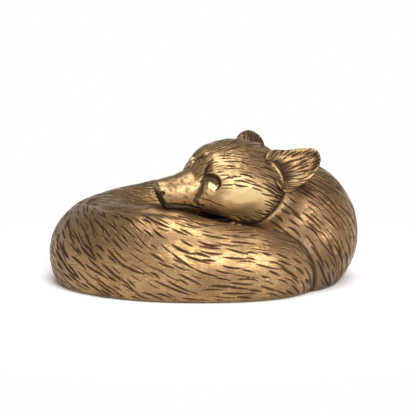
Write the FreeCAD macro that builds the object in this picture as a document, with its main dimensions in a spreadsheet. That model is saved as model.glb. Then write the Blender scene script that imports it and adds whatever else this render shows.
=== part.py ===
import FreeCAD, Part
import math
import os
from FreeCAD import Placement, Rotation, Vector

# A fox asleep in a curl, cast in brass in sections: a hollow torso, the brush, the head and two ears.
# A plate screwed under the casting ties torso and brush together and stands on four felt pads.
# Millimetres. +X is towards the fox's shoulder, -Y is the side of the face, +Z is up.

SIZES = {
    # the curl as it lies
    "curl_half_length": 77.0,
    "curl_half_depth": 57.5,
    "rim_lift": 0.6,
    # torso: shoulder, back and haunch, with the belly's dome and the neck
    "shoulder_height": 58.0,
    "body_half_width": 27.0,
    "body_wall": 10.0,
    "belly_height": 38.5,
    "belly_radius": 46.0,
    # neck, which runs up from the nape to the throat, placed from the tip of the nose
    "nape_radius": 21.0,
    "nape_behind_nose": 70.0,
    "nape_beside_nose": 44.0,
    "nape_below_nose": 19.0,
    "throat_radius": 19.0,
    "throat_behind_nose": 50.0,
    "throat_beside_nose": 30.0,
    "throat_below_nose": 7.0,
    # brush
    "brush_half_width": 24.0,
    "brush_height": 43.0,
    "brush_wall": 10.0,
    "joint_gap": 0.15,
    # tip of the nose, from the shoulder's end of the curl, from its front and from the shoulder's top
    "nose_from_end": 101.0,
    "nose_from_front": 21.5,
    "nose_below_shoulder": 6.0,
    # head, with features placed back from the nose, out to each side and up to the crown
    "head_length": 71.0,
    "head_half_width": 22.0,
    "skull_height": 20.0,
    "ruff_radius": 13.0,
    "ruff_back": 52.0,
    "ruff_side": 10.0,
    "ruff_rise": -4.5,
    "brow_radius": 5.0,
    "brow_back": 28.0,
    "brow_side": 7.0,
    "brow_rise": 9.8,
    "socket_radius": 4.6,
    "socket_back": 22.0,
    "socket_side": 10.8,
    "socket_rise": 8.0,
    "lid_radius": 4.5,
    "lid_back": 25.6,
    "lid_side": 10.2,
    "lid_rise": 4.6,
    "chin_slope": 0.5,
    "chin_rise": 2.0,
    "nose_pad_radius": 3.6,
    "nose_pad_back": 3.0,
    "nose_pad_side": 0.0,
    "nose_pad_rise": 0.8,
    "nostril_radius": 1.1,
    "nostril_back": 0.6,
    "nostril_side": 3.1,
    "nostril_rise": 0.8,
    "lip_groove_radius": 0.9,
    "lip_front_back": 4.5,
    "lip_front_side": 6.4,
    "lip_front_rise": -4.6,
    "lip_end_back": 22.0,
    "lip_end_side": 9.6,
    "lip_end_rise": -5.6,
    # ears
    "ear_length": 25.0,
    "ear_half_width": 12.0,
    "ear_cup_radius": 22.0,
    "ear_thickness": 2.4,
    "near_ear_back": 58.6,
    "near_ear_side": 11.5,
    "near_ear_rise": 13.5,
    "far_ear_back": 53.7,
    "far_ear_side": 10.2,
    "far_ear_rise": 4.2,
    # base plate, screws, pads and pins
    "plate_half_length": 62.0,
    "plate_half_depth": 46.0,
    "plate_thickness": 2.5,
    "plate_height": 1.4,
    "plate_clearance": 0.3,
    "screw_radius": 1.7,
    "screw_head_radius": 3.4,
    "screw_head_height": 1.7,
    "screw_length": 11.0,
    "bore_clearance": 0.1,
    "pad_radius": 7.0,
    "pad_reach": 32.0,
    "pad_side": 20.0,
    "pin_radius": 2.0,
    "pin_length": 14.0,
    "pin_height": 16.0,
    "pin_spread": 18.0,
    "head_screw_radius": 2.4,
    "head_screw_head_radius": 4.4,
    "head_screw_head_height": 3.2,
    "head_screw_length": 22.0,
    "head_screw_behind_nose": 58.0,
    "head_screw_beside_nose": 40.0,
    "head_screw_below_nose": 18.0,
    "overrun": 20.0,
}

# Angles in degrees: how far the head is turned to the viewer and rolled onto its cheek.
ANGLES = {"head_turn": 30.0, "head_roll": 28.0}

# Stations of the torso round the curl: angle in degrees, inset from the plan's oval and half width
# as shares of the body's half width, height as a share of the shoulder's, and the height of the
# widest point as a share of the station's own.
TORSO_SHARES = (
    (-54, 0.42, 0.60, 0.450, 0.40),
    (-32, 0.18, 0.72, 0.620, 0.42),
    (-12, 0.02, 0.90, 0.880, 0.44),
    (10, 0.00, 1.00, 1.000, 0.44),
    (38, 0.00, 0.97, 0.980, 0.44),
    (65, 0.00, 0.93, 0.925, 0.43),
    (90, 0.00, 0.91, 0.860, 0.42),
    (115, 0.00, 0.91, 0.810, 0.40),
    (140, 0.00, 0.94, 0.765, 0.38),
    (160, 0.00, 0.98, 0.735, 0.36),
    (180, 0.00, 1.00, 0.712, 0.34),
    (202, 0.00, 0.97, 0.712, 0.34),
)
TORSO_CORE_STATIONS = slice(2, 10)

# The same for the brush, as shares of its own half width and height. It ends in a blunt tip.
BRUSH_SHARES = (
    (190, 0.00, 1.10, 0.960, 0.34),
    (205, 0.00, 1.06, 0.970, 0.34),
    (220, 0.00, 1.01, 0.985, 0.34),
    (235, 0.00, 0.97, 1.000, 0.34),
    (250, 0.00, 0.94, 0.965, 0.35),
    (265, 0.00, 0.91, 0.900, 0.36),
    (280, 0.00, 0.88, 0.845, 0.37),
    (295, 0.00, 0.83, 0.800, 0.38),
    (308, 0.02, 0.75, 0.765, 0.40),
    (318, 0.12, 0.65, 0.695, 0.42),
    (325, 0.26, 0.50, 0.590, 0.44),
    (330, 0.36, 0.32, 0.440, 0.46),
    (333, 0.46, 0.10, 0.240, 0.48),
)
BRUSH_CORE_STATIONS = slice(3, 8)

# Sections of the head from the nose to the nape: distance back as a share of the head's length,
# centre above the muzzle's axis and half height up and down as shares of the skull's height, and
# half width as a share of the head's.
HEAD_SHARES = (
    (0.000, -0.160, 0.30, 0.32, 0.170),
    (0.020, -0.160, 0.40, 0.40, 0.260),
    (0.055, -0.160, 0.43, 0.42, 0.310),
    (0.140, -0.150, 0.44, 0.43, 0.360),
    (0.225, -0.130, 0.45, 0.45, 0.425),
    (0.290, -0.080, 0.52, 0.50, 0.510),
    (0.330, 0.000, 0.68, 0.58, 0.630),
    (0.385, 0.080, 0.76, 0.70, 0.780),
    (0.510, 0.130, 0.83, 0.85, 0.935),
    (0.650, 0.130, 0.87, 0.92, 1.000),
    (0.790, 0.100, 0.82, 0.88, 0.955),
    (0.900, 0.050, 0.72, 0.73, 0.780),
    (0.970, 0.020, 0.46, 0.46, 0.460),
    (1.000, 0.000, 0.16, 0.16, 0.150),
)

# Outline of an ear from its root round the tip: shares of its length and of its half width.
EAR_SHARES = (
    (-0.10, 0.50),
    (0.12, 0.83),
    (0.41, 0.64),
    (0.70, 0.42),
    (0.93, 0.20),
    (0.99, -0.18),
    (0.89, -0.52),
    (0.66, -0.80),
    (0.34, -0.95),
    (0.00, -0.98),
    (-0.10, -0.55),
)
EAR_CUP_CENTRE_SHARE = 0.45

# Places of the screws under the plate, as shares of its half length and half depth.
SCREW_SHARES = ((-0.73, 0.06), (-0.65, -0.45), (0.00, 0.34), (0.35, -0.30), (0.42, -0.72))
PAD_SIDES = ((-1, -1), (-1, 1), (1, -1), (1, 1))

UP = Vector(0, 0, 1)
BOW_STEPS = 6

doc = FreeCAD.newDocument("sleeping_fox")
sheet = doc.addObject("Spreadsheet::Sheet", "sizes")
for row, (alias, value) in enumerate({**SIZES, **ANGLES}.items(), start=1):
    sheet.set(f"A{row}", alias)
    sheet.set(f"B{row}", str(value))
    sheet.setAlias(f"B{row}", alias)
doc.recompute()


def size(alias):
    return float(sheet.get(alias))


def bind(item, **expressions):
    for prop, expression in expressions.items():
        item.setExpression(prop.replace("_", "."), expression)
    return item


def feature(name, shape):
    item = doc.addObject("Part::Feature", name)
    item.Shape = shape
    return item


def bow(half_width, rise, start=0.0):
    """A spline through points of an ellipse in the XY plane, from start over the top to its mirror."""
    points = []
    for step in range(BOW_STEPS + 1):
        angle = start + (math.pi - 2 * start) * step / BOW_STEPS
        points.append(Vector(half_width * math.cos(angle), rise * math.sin(angle), 0))
    heading = Vector(-half_width * math.sin(start), rise * math.cos(start), 0)
    curve = Part.BSplineCurve()
    curve.interpolate(
        points, InitialTangent=heading, FinalTangent=Vector(heading.x, -heading.y, 0)
    )
    return curve.toShape()


def box(name, **expressions):
    return bind(doc.addObject("Part::Box", name), **expressions)


def cylinder(name, radius, length, place, axis=UP):
    item = bind(doc.addObject("Part::Cylinder", name), Radius=radius, Height=length)
    item.Placement = Placement(place, Rotation(UP, axis))
    return item


def ball(name, radius, place, poles=UP):
    item = bind(doc.addObject("Part::Sphere", name), Radius=radius)
    item.Placement = Placement(place, Rotation(UP, poles))
    return item


def fuse(name, *items):
    result = doc.addObject("Part::MultiFuse", name)
    result.Shapes = list(items)
    return result


def common(name, *items):
    result = doc.addObject("Part::MultiCommon", name)
    result.Shapes = list(items)
    return result


def cut(name, base, *tools):
    for index, tool in enumerate(tools):
        step = doc.addObject("Part::Cut", name if index == len(tools) - 1 else f"{name}_step_{index}")
        step.Base = base
        step.Tool = tool
        base = step
    return base


def group(name, items):
    result = doc.addObject("Part::Compound", name)
    result.Links = list(items)
    return result


def loft(name, sections, ruled=False):
    result = doc.addObject("Part::Loft", name)
    result.Sections = sections
    result.Solid = True
    result.Ruled = ruled
    return result


# The curl: the torso and the brush are arches of ellipses that stand across one oval.


def plan_radius(angle):
    across = math.cos(angle) / size("curl_half_length")
    along = math.sin(angle) / size("curl_half_depth")
    return 1 / math.hypot(across, along)


def station_reach(shares, half_width):
    degrees, inset_share, width_share = shares[:3]
    return plan_radius(math.radians(degrees)) - (inset_share + width_share) * size(half_width)


def arch(name, shares, half_width, height, grow=0.0, wall=0.0):
    """One station across the curl, closed along the rim: enlarged by grow, or the core a wall inside."""
    degrees, _, width_share, height_share, seat_share = shares
    angle = math.radians(degrees)
    reach = station_reach(shares, half_width)
    width = width_share * size(half_width) + grow
    top = height_share * size(height)
    middle = seat_share * top
    rise = top - middle + grow
    rim = size("rim_lift") - middle
    start = math.asin(rim / rise)
    if wall:
        foot = width * math.cos(start) - wall
        arc = bow(width - wall, rise - wall)
        feet = [Vector(-foot, rim, 0), Vector(foot, rim, 0)]
    else:
        arc = bow(width, rise, start)
        feet = []
    corners = [arc.Vertexes[-1].Point, *feet, arc.Vertexes[0].Point]
    sides = [
        Part.LineSegment(one, other).toShape() for one, other in zip(corners, corners[1:])
    ]
    station = feature(name, Part.Wire([arc, *sides]))
    outward = Vector(math.cos(angle), math.sin(angle), 0)
    station.Placement = Placement(
        outward * reach + UP * middle, Rotation(outward, UP, outward.cross(UP), "XYZ")
    )
    return station


def curl_loft(name, stations, half_width, height, grow=0.0):
    arches = [
        arch(f"{name}_arch_{index}", shares, half_width, height, grow=grow)
        for index, shares in enumerate(stations)
    ]
    return loft(name, arches)


def curl_core(name, stations, half_width, height, wall):
    arches = [
        arch(f"{name}_arch_{index}", shares, half_width, height, wall=size(wall))
        for index, shares in enumerate(stations)
    ]
    return loft(name, arches, ruled=True)


def torso_mass():
    ring = curl_loft("back_and_haunch", TORSO_SHARES, "body_half_width", "shoulder_height")
    belly = ball("belly", "sizes.belly_radius", Vector())
    bind(belly, Placement_Base_z="sizes.belly_height - sizes.belly_radius")
    nape = from_nose("nape")
    throat = from_nose("throat")
    neck = doc.addObject("Part::Cone", "neck")
    bind(neck, Radius1="sizes.nape_radius", Radius2="sizes.throat_radius")
    neck.Height = (throat - nape).Length
    neck.Placement = Placement(nape, Rotation(UP, throat - nape))
    ground = box(
        "ground",
        Length="4 * sizes.curl_half_length",
        Width="4 * sizes.curl_half_length",
        Height="4 * sizes.curl_half_length",
        Placement_Base_x="-2 * sizes.curl_half_length",
        Placement_Base_y="-2 * sizes.curl_half_length",
        Placement_Base_z="sizes.rim_lift - 4 * sizes.curl_half_length",
    )
    return cut("torso_mass", fuse("torso_forms", ring, belly, neck), ground)


# The head's own frame runs back from the nose, across to the far cheek and up to the crown.

turn = math.radians(size("head_turn"))
roll = math.radians(size("head_roll"))
BACK = Vector(math.cos(turn), math.sin(turn), 0)
LEVEL = Vector(-math.sin(turn), math.cos(turn), 0)
ACROSS = LEVEL * math.cos(roll) + UP * math.sin(roll)
CROWN = BACK.cross(ACROSS)
NOSE = Vector(
    size("curl_half_length") - size("nose_from_end"),
    size("nose_from_front") - size("curl_half_depth"),
    size("shoulder_height") - size("nose_below_shoulder"),
)


def from_nose(name):
    """A place outside the head, level axes from the tip of the nose."""
    behind = size(f"{name}_behind_nose")
    return NOSE + Vector(behind, size(f"{name}_beside_nose"), -size(f"{name}_below_nose"))


def on_head(back, across, crown):
    return NOSE + BACK * back + ACROSS * across + CROWN * crown


def placed(name, side=1):
    """A feature's place on the head, on the far side or, for side -1, on the near one."""
    return on_head(size(f"{name}_back"), side * size(f"{name}_side"), size(f"{name}_rise"))


def head_section(name, shares, grow):
    """One section across the head, deeper or flatter below its widest line than above it."""
    back_share, centre_share, up_share, down_share, width_share = shares
    skull = size("skull_height")
    width = width_share * size("head_half_width") + grow
    over = bow(width, up_share * skull + grow)
    under = bow(-width, -down_share * skull - grow)
    section = feature(name, Part.Wire([over, under]))
    back = back_share * size("head_length") + grow * (2 * back_share - 1)
    place = on_head(back, 0, centre_share * skull)
    section.Placement = Placement(place, Rotation(ACROSS, CROWN, ACROSS.cross(CROWN), "XYZ"))
    return section


def head_mass(name, grow=0.0):
    """The skull and muzzle with a cheek ruff on each side, enlarged by grow."""
    sections = [
        head_section(f"{name}_section_{index}", shares, grow)
        for index, shares in enumerate(HEAD_SHARES)
    ]
    ruffs = []
    for side, letter in ((-1, "near"), (1, "far")):
        place = placed("ruff", side)
        ruffs.append(ball(f"{name}_{letter}_ruff", f"sizes.ruff_radius + {grow}", place))
    return fuse(name, loft(f"{name}_loft", sections), *ruffs)


def lip_groove(name, side):
    front = placed("lip_front", side)
    end = placed("lip_end", side)
    return cylinder(name, "sizes.lip_groove_radius", str((end - front).Length), front, end - front)


def chin_face():
    """What is cut off in front of the slanted face that runs back from the nose to the chin."""
    outward = -BACK - CROWN * size("chin_slope")
    outward.normalize()
    upward = outward.cross(ACROSS)
    block = box(
        "chin_face",
        Length="2 * sizes.overrun",
        Width="2 * sizes.overrun",
        Height="sizes.overrun",
    )
    corner = on_head(0, 0, size("chin_rise")) - (ACROSS + upward) * size("overrun")
    block.Placement = Placement(corner, Rotation(ACROSS, upward, outward, "XYZ"))
    return block


def ear_cup(name, root, towards_tip, facing, grow=0.0):
    """A leaf cut from a hollow ball, so the ear is cupped. It faces the centre of the ball."""
    length = size("ear_length") + grow
    half_width = size("ear_half_width") + grow
    points = [Vector(along * length, side * half_width, 0) for along, side in EAR_SHARES]
    outline = Part.BSplineCurve()
    outline.interpolate(points, PeriodicFlag=True)
    leaf = Part.Wire(outline.toShape())
    radius = size("ear_cup_radius")
    depth = math.sqrt(radius ** 2 - half_width ** 2)
    centre = Vector(EAR_CUP_CENTRE_SHARE * length, 0, depth)
    prism = Part.Face(leaf)
    prism.translate(Vector(0, 0, depth - radius - size("ear_thickness") - grow))
    prism = prism.extrude(UP * (radius + size("ear_thickness") + grow))
    outer = ball(f"{name}_back", f"sizes.ear_cup_radius + sizes.ear_thickness + {grow}", centre)
    inner = ball(f"{name}_hollow", f"sizes.ear_cup_radius - {grow}", centre)
    cup = cut(name, common(f"{name}_leaf", feature(f"{name}_outline", prism), outer), inner)
    width_axis = facing.cross(towards_tip)
    cup.Placement = Placement(root, Rotation(towards_tip, width_axis, facing, "XYZ"))
    return cup


def across_to(direction, leaning):
    """The part of leaning that is square to direction, at unit length."""
    square = leaning - direction * leaning.dot(direction)
    return square.normalize()


NEAR_EAR_LEAN = Vector(0.883, 0.281, 0.381).normalize()
FAR_EAR_LEAN = Vector(0.0, 0.88, 0.47).normalize()
NEAR_EAR_FACE = across_to(NEAR_EAR_LEAN, Vector(0.0, -0.95, 0.25))
FAR_EAR_FACE = across_to(FAR_EAR_LEAN, Vector(-0.30, -0.45, 0.84))


def ears(name, grow=0.0):
    near_root = placed("near_ear", -1)
    near = ear_cup(f"near_{name}", near_root, NEAR_EAR_LEAN, NEAR_EAR_FACE, grow)
    far = ear_cup(f"far_{name}", placed("far_ear"), FAR_EAR_LEAN, FAR_EAR_FACE, grow)
    return near, far


# The base plate closes the casting from below, and screws, pads and pins have their places from it.


def oval(name, grow, bottom, height):
    rim = bind(
        doc.addObject("Part::Ellipse", f"{name}_rim"),
        MajorRadius=f"sizes.plate_half_length + {grow}",
        MinorRadius=f"sizes.plate_half_depth + {grow}",
        Placement_Base_z=bottom,
    )
    blank = doc.addObject("Part::Extrusion", name)
    blank.Base = rim
    blank.DirMode = "Custom"
    blank.Dir = UP
    blank.Solid = True
    return bind(blank, LengthFwd=height)


def screw_places(bottom):
    length, depth = size("plate_half_length"), size("plate_half_depth")
    return [Vector(along * length, side * depth, bottom) for along, side in SCREW_SHARES]


def rods(name, radius, length, places, axis=UP):
    return group(
        name,
        [
            cylinder(f"{name}_{index}", radius, length, place, axis)
            for index, place in enumerate(places)
        ],
    )


def screws(name, head_radius, head_height, radius, length, places):
    """Cheese-head screws that stand head down at each place."""
    made = []
    for index, place in enumerate(places):
        head = cylinder(f"{name}_head_{index}", head_radius, head_height, place)
        shank = cylinder(f"{name}_shank_{index}", radius, f"{head_height} + {length}", place)
        made.append(fuse(f"{name}_{index}", head, shank))
    return group(name, made)


def pin_places():
    """Two pins across the joint between haunch and brush, either side of its middle."""
    joint = BRUSH_SHARES[0]
    angle = math.radians(joint[0])
    outward = Vector(math.cos(angle), math.sin(angle), 0)
    along = Vector(-math.sin(angle), math.cos(angle), 0)
    middle = outward * station_reach(joint, "brush_half_width") + UP * size("pin_height")
    start = middle - along * (size("pin_length") / 2)
    return along, [start + outward * (side * size("pin_spread") / 2) for side in (-1, 1)]


def make_plate():
    plate = oval("plate_blank", 0, "sizes.plate_height", "sizes.plate_thickness")
    heads = rods(
        "plate_counterbores",
        "sizes.screw_head_radius + sizes.bore_clearance",
        "sizes.screw_head_height",
        screw_places(size("plate_height")),
    )
    shanks = rods(
        "plate_holes",
        "sizes.screw_radius + sizes.bore_clearance",
        "sizes.plate_height + sizes.plate_thickness + sizes.overrun",
        screw_places(0),
    )
    return cut("base_plate", plate, heads, shanks)


def make_pads():
    reach, side = size("pad_reach"), size("pad_side")
    places = [Vector(along * reach, across * side, 0) for along, across in PAD_SIDES]
    return rods("felt_pads", "sizes.pad_radius", "sizes.plate_height", places)


def make_base_screws():
    return screws(
        "base_screws",
        "sizes.screw_head_radius",
        "sizes.screw_head_height",
        "sizes.screw_radius",
        "sizes.screw_length",
        screw_places(size("plate_height")),
    )


def make_pins():
    along, places = pin_places()
    return rods("brush_pins", "sizes.pin_radius", "sizes.pin_length", places, along)


def head_screw_place(drop=0.0):
    return from_nose("head_screw") - UP * drop


def make_head_screw():
    return screws(
        "head_screw",
        "sizes.head_screw_head_radius",
        "sizes.head_screw_head_height",
        "sizes.head_screw_radius",
        "sizes.head_screw_length",
        [head_screw_place(size("head_screw_head_height"))],
    )


def bores():
    """What is drilled and recessed in the casting from below."""
    recess = oval(
        "plate_recess",
        "sizes.plate_clearance",
        "-sizes.overrun",
        "sizes.overrun + sizes.plate_height + sizes.plate_thickness",
    )
    screw_bores = rods(
        "screw_bores",
        "sizes.screw_radius + sizes.bore_clearance",
        "sizes.plate_height + sizes.screw_head_height + sizes.screw_length",
        screw_places(0),
    )
    along, places = pin_places()
    pin_bores = rods(
        "pin_bores",
        "sizes.pin_radius + sizes.bore_clearance",
        "sizes.pin_length",
        places,
        along,
    )
    return [recess, screw_bores, pin_bores]


def make_torso():
    head_seat = head_mass("head_seat", size("joint_gap"))
    brush_seat = curl_loft(
        "brush_seat", BRUSH_SHARES, "brush_half_width", "brush_height", size("joint_gap")
    )
    core = curl_core(
        "torso_core",
        TORSO_SHARES[TORSO_CORE_STATIONS],
        "body_half_width",
        "shoulder_height",
        "body_wall",
    )
    spot_face = cylinder(
        "head_screw_face",
        "sizes.head_screw_head_radius + sizes.plate_clearance",
        "sizes.overrun",
        head_screw_place(size("overrun")),
    )
    bore = cylinder(
        "head_screw_hole",
        "sizes.head_screw_radius + sizes.bore_clearance",
        "sizes.head_screw_length + sizes.overrun",
        head_screw_place(),
    )
    seats = [brush_seat, head_seat, *ears("ear_seat", size("joint_gap"))]
    return cut("torso", torso_mass(), *seats, core, spot_face, bore, *bores())


def make_brush():
    brush = curl_loft("brush_form", BRUSH_SHARES, "brush_half_width", "brush_height")
    core = curl_core(
        "brush_core",
        BRUSH_SHARES[BRUSH_CORE_STATIONS],
        "brush_half_width",
        "brush_height",
        "brush_wall",
    )
    head_seat = head_mass("head_seat_on_brush", size("joint_gap"))
    return cut("brush", brush, head_seat, core, *bores())


def make_head():
    def on_side(side, name, part):
        return ball(f"{name}_{part}", f"sizes.{part}_radius", placed(part, side), ACROSS)

    added = [head_mass("head_form")]
    removed = [chin_face()]
    finished = [ball("nose_pad", "sizes.nose_pad_radius", placed("nose_pad"), ACROSS)]
    for side, name in ((-1, "near"), (1, "far")):
        added.append(on_side(side, name, "brow"))
        removed.append(on_side(side, name, "socket"))
        removed.append(lip_groove(f"{name}_lip", side))
        finished.append(on_side(side, name, "lid"))
    nostrils = [on_side(-1, "near", "nostril"), on_side(1, "far", "nostril")]
    carved = cut("head_carved", fuse("head_solid", *added), *removed)
    carved = cut("head_with_lids", fuse("head_finished", carved, *finished), *nostrils)
    screw_hole = cylinder(
        "head_screw_thread",
        "sizes.head_screw_radius + sizes.bore_clearance",
        "sizes.head_screw_length",
        head_screw_place(),
    )
    return cut("head", carved, screw_hole, *ears("ear_slot", size("joint_gap")))


MAKERS = {
    "torso": make_torso,
    "brush": make_brush,
    "head": make_head,
    "base_plate": make_plate,
    "base_screws": make_base_screws,
    "felt_pads": make_pads,
    "brush_pins": make_pins,
    "head_screw": make_head_screw,
}

nodes = {name: make() for name, make in MAKERS.items()}
nodes["near_ear"], nodes["far_ear"] = ears("ear")
doc.recompute()

for item in doc.Objects:
    if {"Invalid", "Error"} & set(item.State):
        raise RuntimeError(f"{item.Name} did not build: {item.State}")
for name, item in nodes.items():
    if item.Shape.isNull() or not item.Shape.isValid():
        raise RuntimeError(f"{name} has no valid shape")
    item.Label = name

# The origin is the middle of the whole figure's outline on the surface that it stands on.
outline = FreeCAD.BoundBox()
for item in nodes.values():
    outline.add(item.Shape.optimalBoundingBox(False, False))
shift = Placement(Vector(-outline.Center.x, -outline.Center.y, 0), Rotation())
for item in nodes.values():
    item.Placement = shift.multiply(item.Placement)

os.makedirs("parts", exist_ok=True)
for name, item in nodes.items():
    item.Shape.exportStep(f"parts/{name}.step")
    print(name, len(item.Shape.Solids), "solids", round(item.Shape.Volume), "mm3")
print("outline", outline)
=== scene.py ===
import itertools
import math

import bpy
import numpy as np
import openvdb
from mathutils.kdtree import KDTree
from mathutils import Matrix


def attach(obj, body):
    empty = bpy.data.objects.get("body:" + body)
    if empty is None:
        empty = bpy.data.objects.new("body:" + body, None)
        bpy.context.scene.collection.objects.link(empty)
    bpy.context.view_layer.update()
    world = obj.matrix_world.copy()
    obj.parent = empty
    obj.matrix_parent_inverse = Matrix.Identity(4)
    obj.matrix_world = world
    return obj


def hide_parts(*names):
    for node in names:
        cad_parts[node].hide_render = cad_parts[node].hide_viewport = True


# A fox asleep in a curl, in antique gold with chiselled fur. The castings are modelled here as
# distance fields in millimetres, turned into meshes, and then chased: strokes of fur are cut into
# them.

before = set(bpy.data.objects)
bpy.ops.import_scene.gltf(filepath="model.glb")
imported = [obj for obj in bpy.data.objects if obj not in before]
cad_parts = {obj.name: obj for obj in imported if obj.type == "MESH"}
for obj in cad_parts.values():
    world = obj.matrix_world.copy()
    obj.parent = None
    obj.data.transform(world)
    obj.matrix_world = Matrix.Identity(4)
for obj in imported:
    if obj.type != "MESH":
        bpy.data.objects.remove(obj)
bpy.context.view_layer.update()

MM = 0.001
FIRST_SEED = 7

# Grid step of each casting's surface.
TORSO_STEP = 0.5
BRUSH_STEP = 0.42
HEAD_STEP = 0.34
EAR_STEP = 0.34

# The curl's plan, the same oval as the castings'.
CURL_HALF_LENGTH = 77.0
CURL_HALF_DEPTH = 57.5
RIM = 0.6
SHOULDER_HEIGHT = 58.0
BODY_HALF_WIDTH = 27.0
BRUSH_HEIGHT = 43.0
BRUSH_HALF_WIDTH = 24.0
BELLY_HEIGHT = 38.5
BELLY_RADIUS = 46.0
NAPE = (46.0, 8.0, 33.0)
NAPE_RADIUS = 21.0
THROAT = (26.0, -6.0, 45.0)
THROAT_RADIUS = 19.0
HAUNCH_JOINT = 190.0
JOINT_LAP = 1.5
JOINT_RADIUS = 50.0
SEAT_CLEARANCE = 0.4

# Added to the gap beside a joint that is chased over, so that no wash or painted shade stands in
# it.
FAR_OFF = 60.0

# Angle round the curl, inset, half width, height, and height of the widest line as a share of it.
TORSO_STATIONS = (
    (-54, 0.42, 0.60, 0.450, 0.40),
    (-32, 0.18, 0.72, 0.620, 0.42),
    (-12, 0.02, 0.90, 0.880, 0.44),
    (10, 0.00, 1.00, 1.000, 0.44),
    (38, 0.00, 0.97, 0.980, 0.44),
    (65, 0.00, 0.93, 0.925, 0.43),
    (90, 0.00, 0.91, 0.860, 0.42),
    (115, 0.00, 0.91, 0.810, 0.40),
    (140, 0.00, 0.94, 0.765, 0.38),
    (160, 0.00, 0.98, 0.735, 0.36),
    (180, 0.00, 0.99, 0.715, 0.34),
    (190, 0.00, 0.978, 0.712, 0.34),
    (205, 0.00, 0.942, 0.719, 0.34),
)
BRUSH_STATIONS = (
    (180, 0.00, 1.114, 0.964, 0.34),
    (190, 0.00, 1.100, 0.960, 0.34),
    (205, 0.00, 1.060, 0.970, 0.34),
    (220, 0.00, 1.010, 0.985, 0.34),
    (235, 0.00, 0.970, 1.000, 0.34),
    (250, 0.00, 0.940, 0.965, 0.35),
    (265, 0.00, 0.910, 0.900, 0.36),
    (280, 0.00, 0.880, 0.845, 0.37),
    (295, 0.00, 0.830, 0.800, 0.38),
    (308, 0.02, 0.750, 0.765, 0.40),
    (319, 0.10, 0.660, 0.705, 0.42),
    (327, 0.22, 0.520, 0.610, 0.44),
    (332, 0.32, 0.350, 0.460, 0.46),
    (335, 0.42, 0.120, 0.260, 0.48),
)

# The head: its nose, and how it is turned and rolled.
NOSE = np.array((-24.0, -36.0, 52.0))
HEAD_TURN = math.radians(30.0)
HEAD_ROLL = math.radians(28.0)
HEAD_LENGTH = 71.0
HEAD_HALF_WIDTH = 22.0
SKULL_HEIGHT = 20.0
# How far back from the nose, then the section's middle, its reach up and its reach down as shares
# of the skull's height, and its half width as a share of the head's.
HEAD_SECTIONS = (
    (0.000, -0.190, 0.27, 0.29, 0.170),
    (0.020, -0.190, 0.35, 0.37, 0.260),
    (0.055, -0.185, 0.38, 0.40, 0.310),
    (0.140, -0.160, 0.41, 0.42, 0.360),
    (0.225, -0.130, 0.45, 0.45, 0.425),
    (0.290, -0.080, 0.52, 0.50, 0.510),
    (0.330, 0.000, 0.68, 0.58, 0.590),
    (0.385, 0.080, 0.76, 0.70, 0.745),
    (0.510, 0.130, 0.83, 0.85, 0.935),
    (0.650, 0.130, 0.87, 0.92, 1.000),
    (0.790, 0.100, 0.82, 0.88, 0.955),
    (0.900, 0.050, 0.72, 0.73, 0.780),
    (0.970, 0.020, 0.46, 0.46, 0.460),
    (1.000, 0.000, 0.16, 0.16, 0.150),
)

# Forms on the head, as back from the nose, across to either side, and up to the crown.
RUFF_MIDDLE = (52.0, 10.0, -4.5)
RUFF_RADII = (13.5, 12.0, 13.0)
SOCKET_MIDDLE = (23.6, 10.8, 9.4)
SOCKET_RADII = (5.0, 4.4, 4.2)
LID_MIDDLE = (26.0, 9.7, 4.6)
LID_RADII = (4.4, 3.9, 4.6)
FAR_LID_FLATTER = 1.6
BROW_MIDDLE = (28.5, 6.2, 10.4)
BROW_RADII = (5.5, 5.0, 4.8)
FAR_BROW_FULLER = 0.8
BROW_RIDGE = ((26.5, 4.6, 13.8), (29.8, 11.4, 7.4))
BROW_RIDGE_RADII = (1.8, 1.5)
TEAR_LINE = ((24.6, 3.6, 14.4), (21.4, 7.9, 6.8), (19.2, 10.3, 0.5))
NOSE_PAD_MIDDLE = (4.0, 0.0, 0.2)
NOSE_PAD_RADII = (3.4, 4.2, 3.2)
NOSTRIL_MIDDLE = (2.7, 4.4, 0.8)
NOSTRIL_RADII = (1.2, 1.1, 0.9)
NOSTRIL_WASH_RADII = (1.5, 1.4, 1.1)
CHIN_BACK = 1.0
CHIN_TOP = 2.0
CHIN_SLOPE = 0.5
LIP_FRONT = (4.5, 6.4, -4.6)
LIP_END = (22.0, 9.6, -5.6)
LIP_RADII = (0.9, 1.0)
MOUTH_CORNER = ((18.5, 10.0, -1.0), (22.0, 11.5, -3.5))
TEMPLE = ((31.4, 13.1, 14.3), (33.4, 14.2, 13.0))
SMOOTH_CHEEK = ((36.0, 20.0, 3.0), (12.0, 9.0, 9.0))
# Where the cheek gets a painted highlight and worn gold.
CHEEK_SHEEN_AND_WEAR = ((42.0, 20.0, 1.0), (15.0, 9.0, 11.0))

# The ears: a leaf's outline from its root round the tip, cut from a hollow ball.
EAR_LENGTH = 25.0
EAR_HALF_WIDTH = 12.0
EAR_CUP_RADIUS = 22.0
EAR_THICKNESS = 2.4
EAR_RIM_INSET = 0.9
EAR_RIM_LIFT = 0.35
EAR_RIM_RADIUS = 1.25
EAR_OUTLINE = (
    (-0.10, 0.50),
    (0.12, 0.80),
    (0.41, 0.58),
    (0.70, 0.36),
    (0.89, 0.14),
    (0.94, -0.20),
    (0.86, -0.52),
    (0.66, -0.80),
    (0.34, -0.95),
    (0.00, -0.98),
    (-0.10, -0.55),
)
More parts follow.
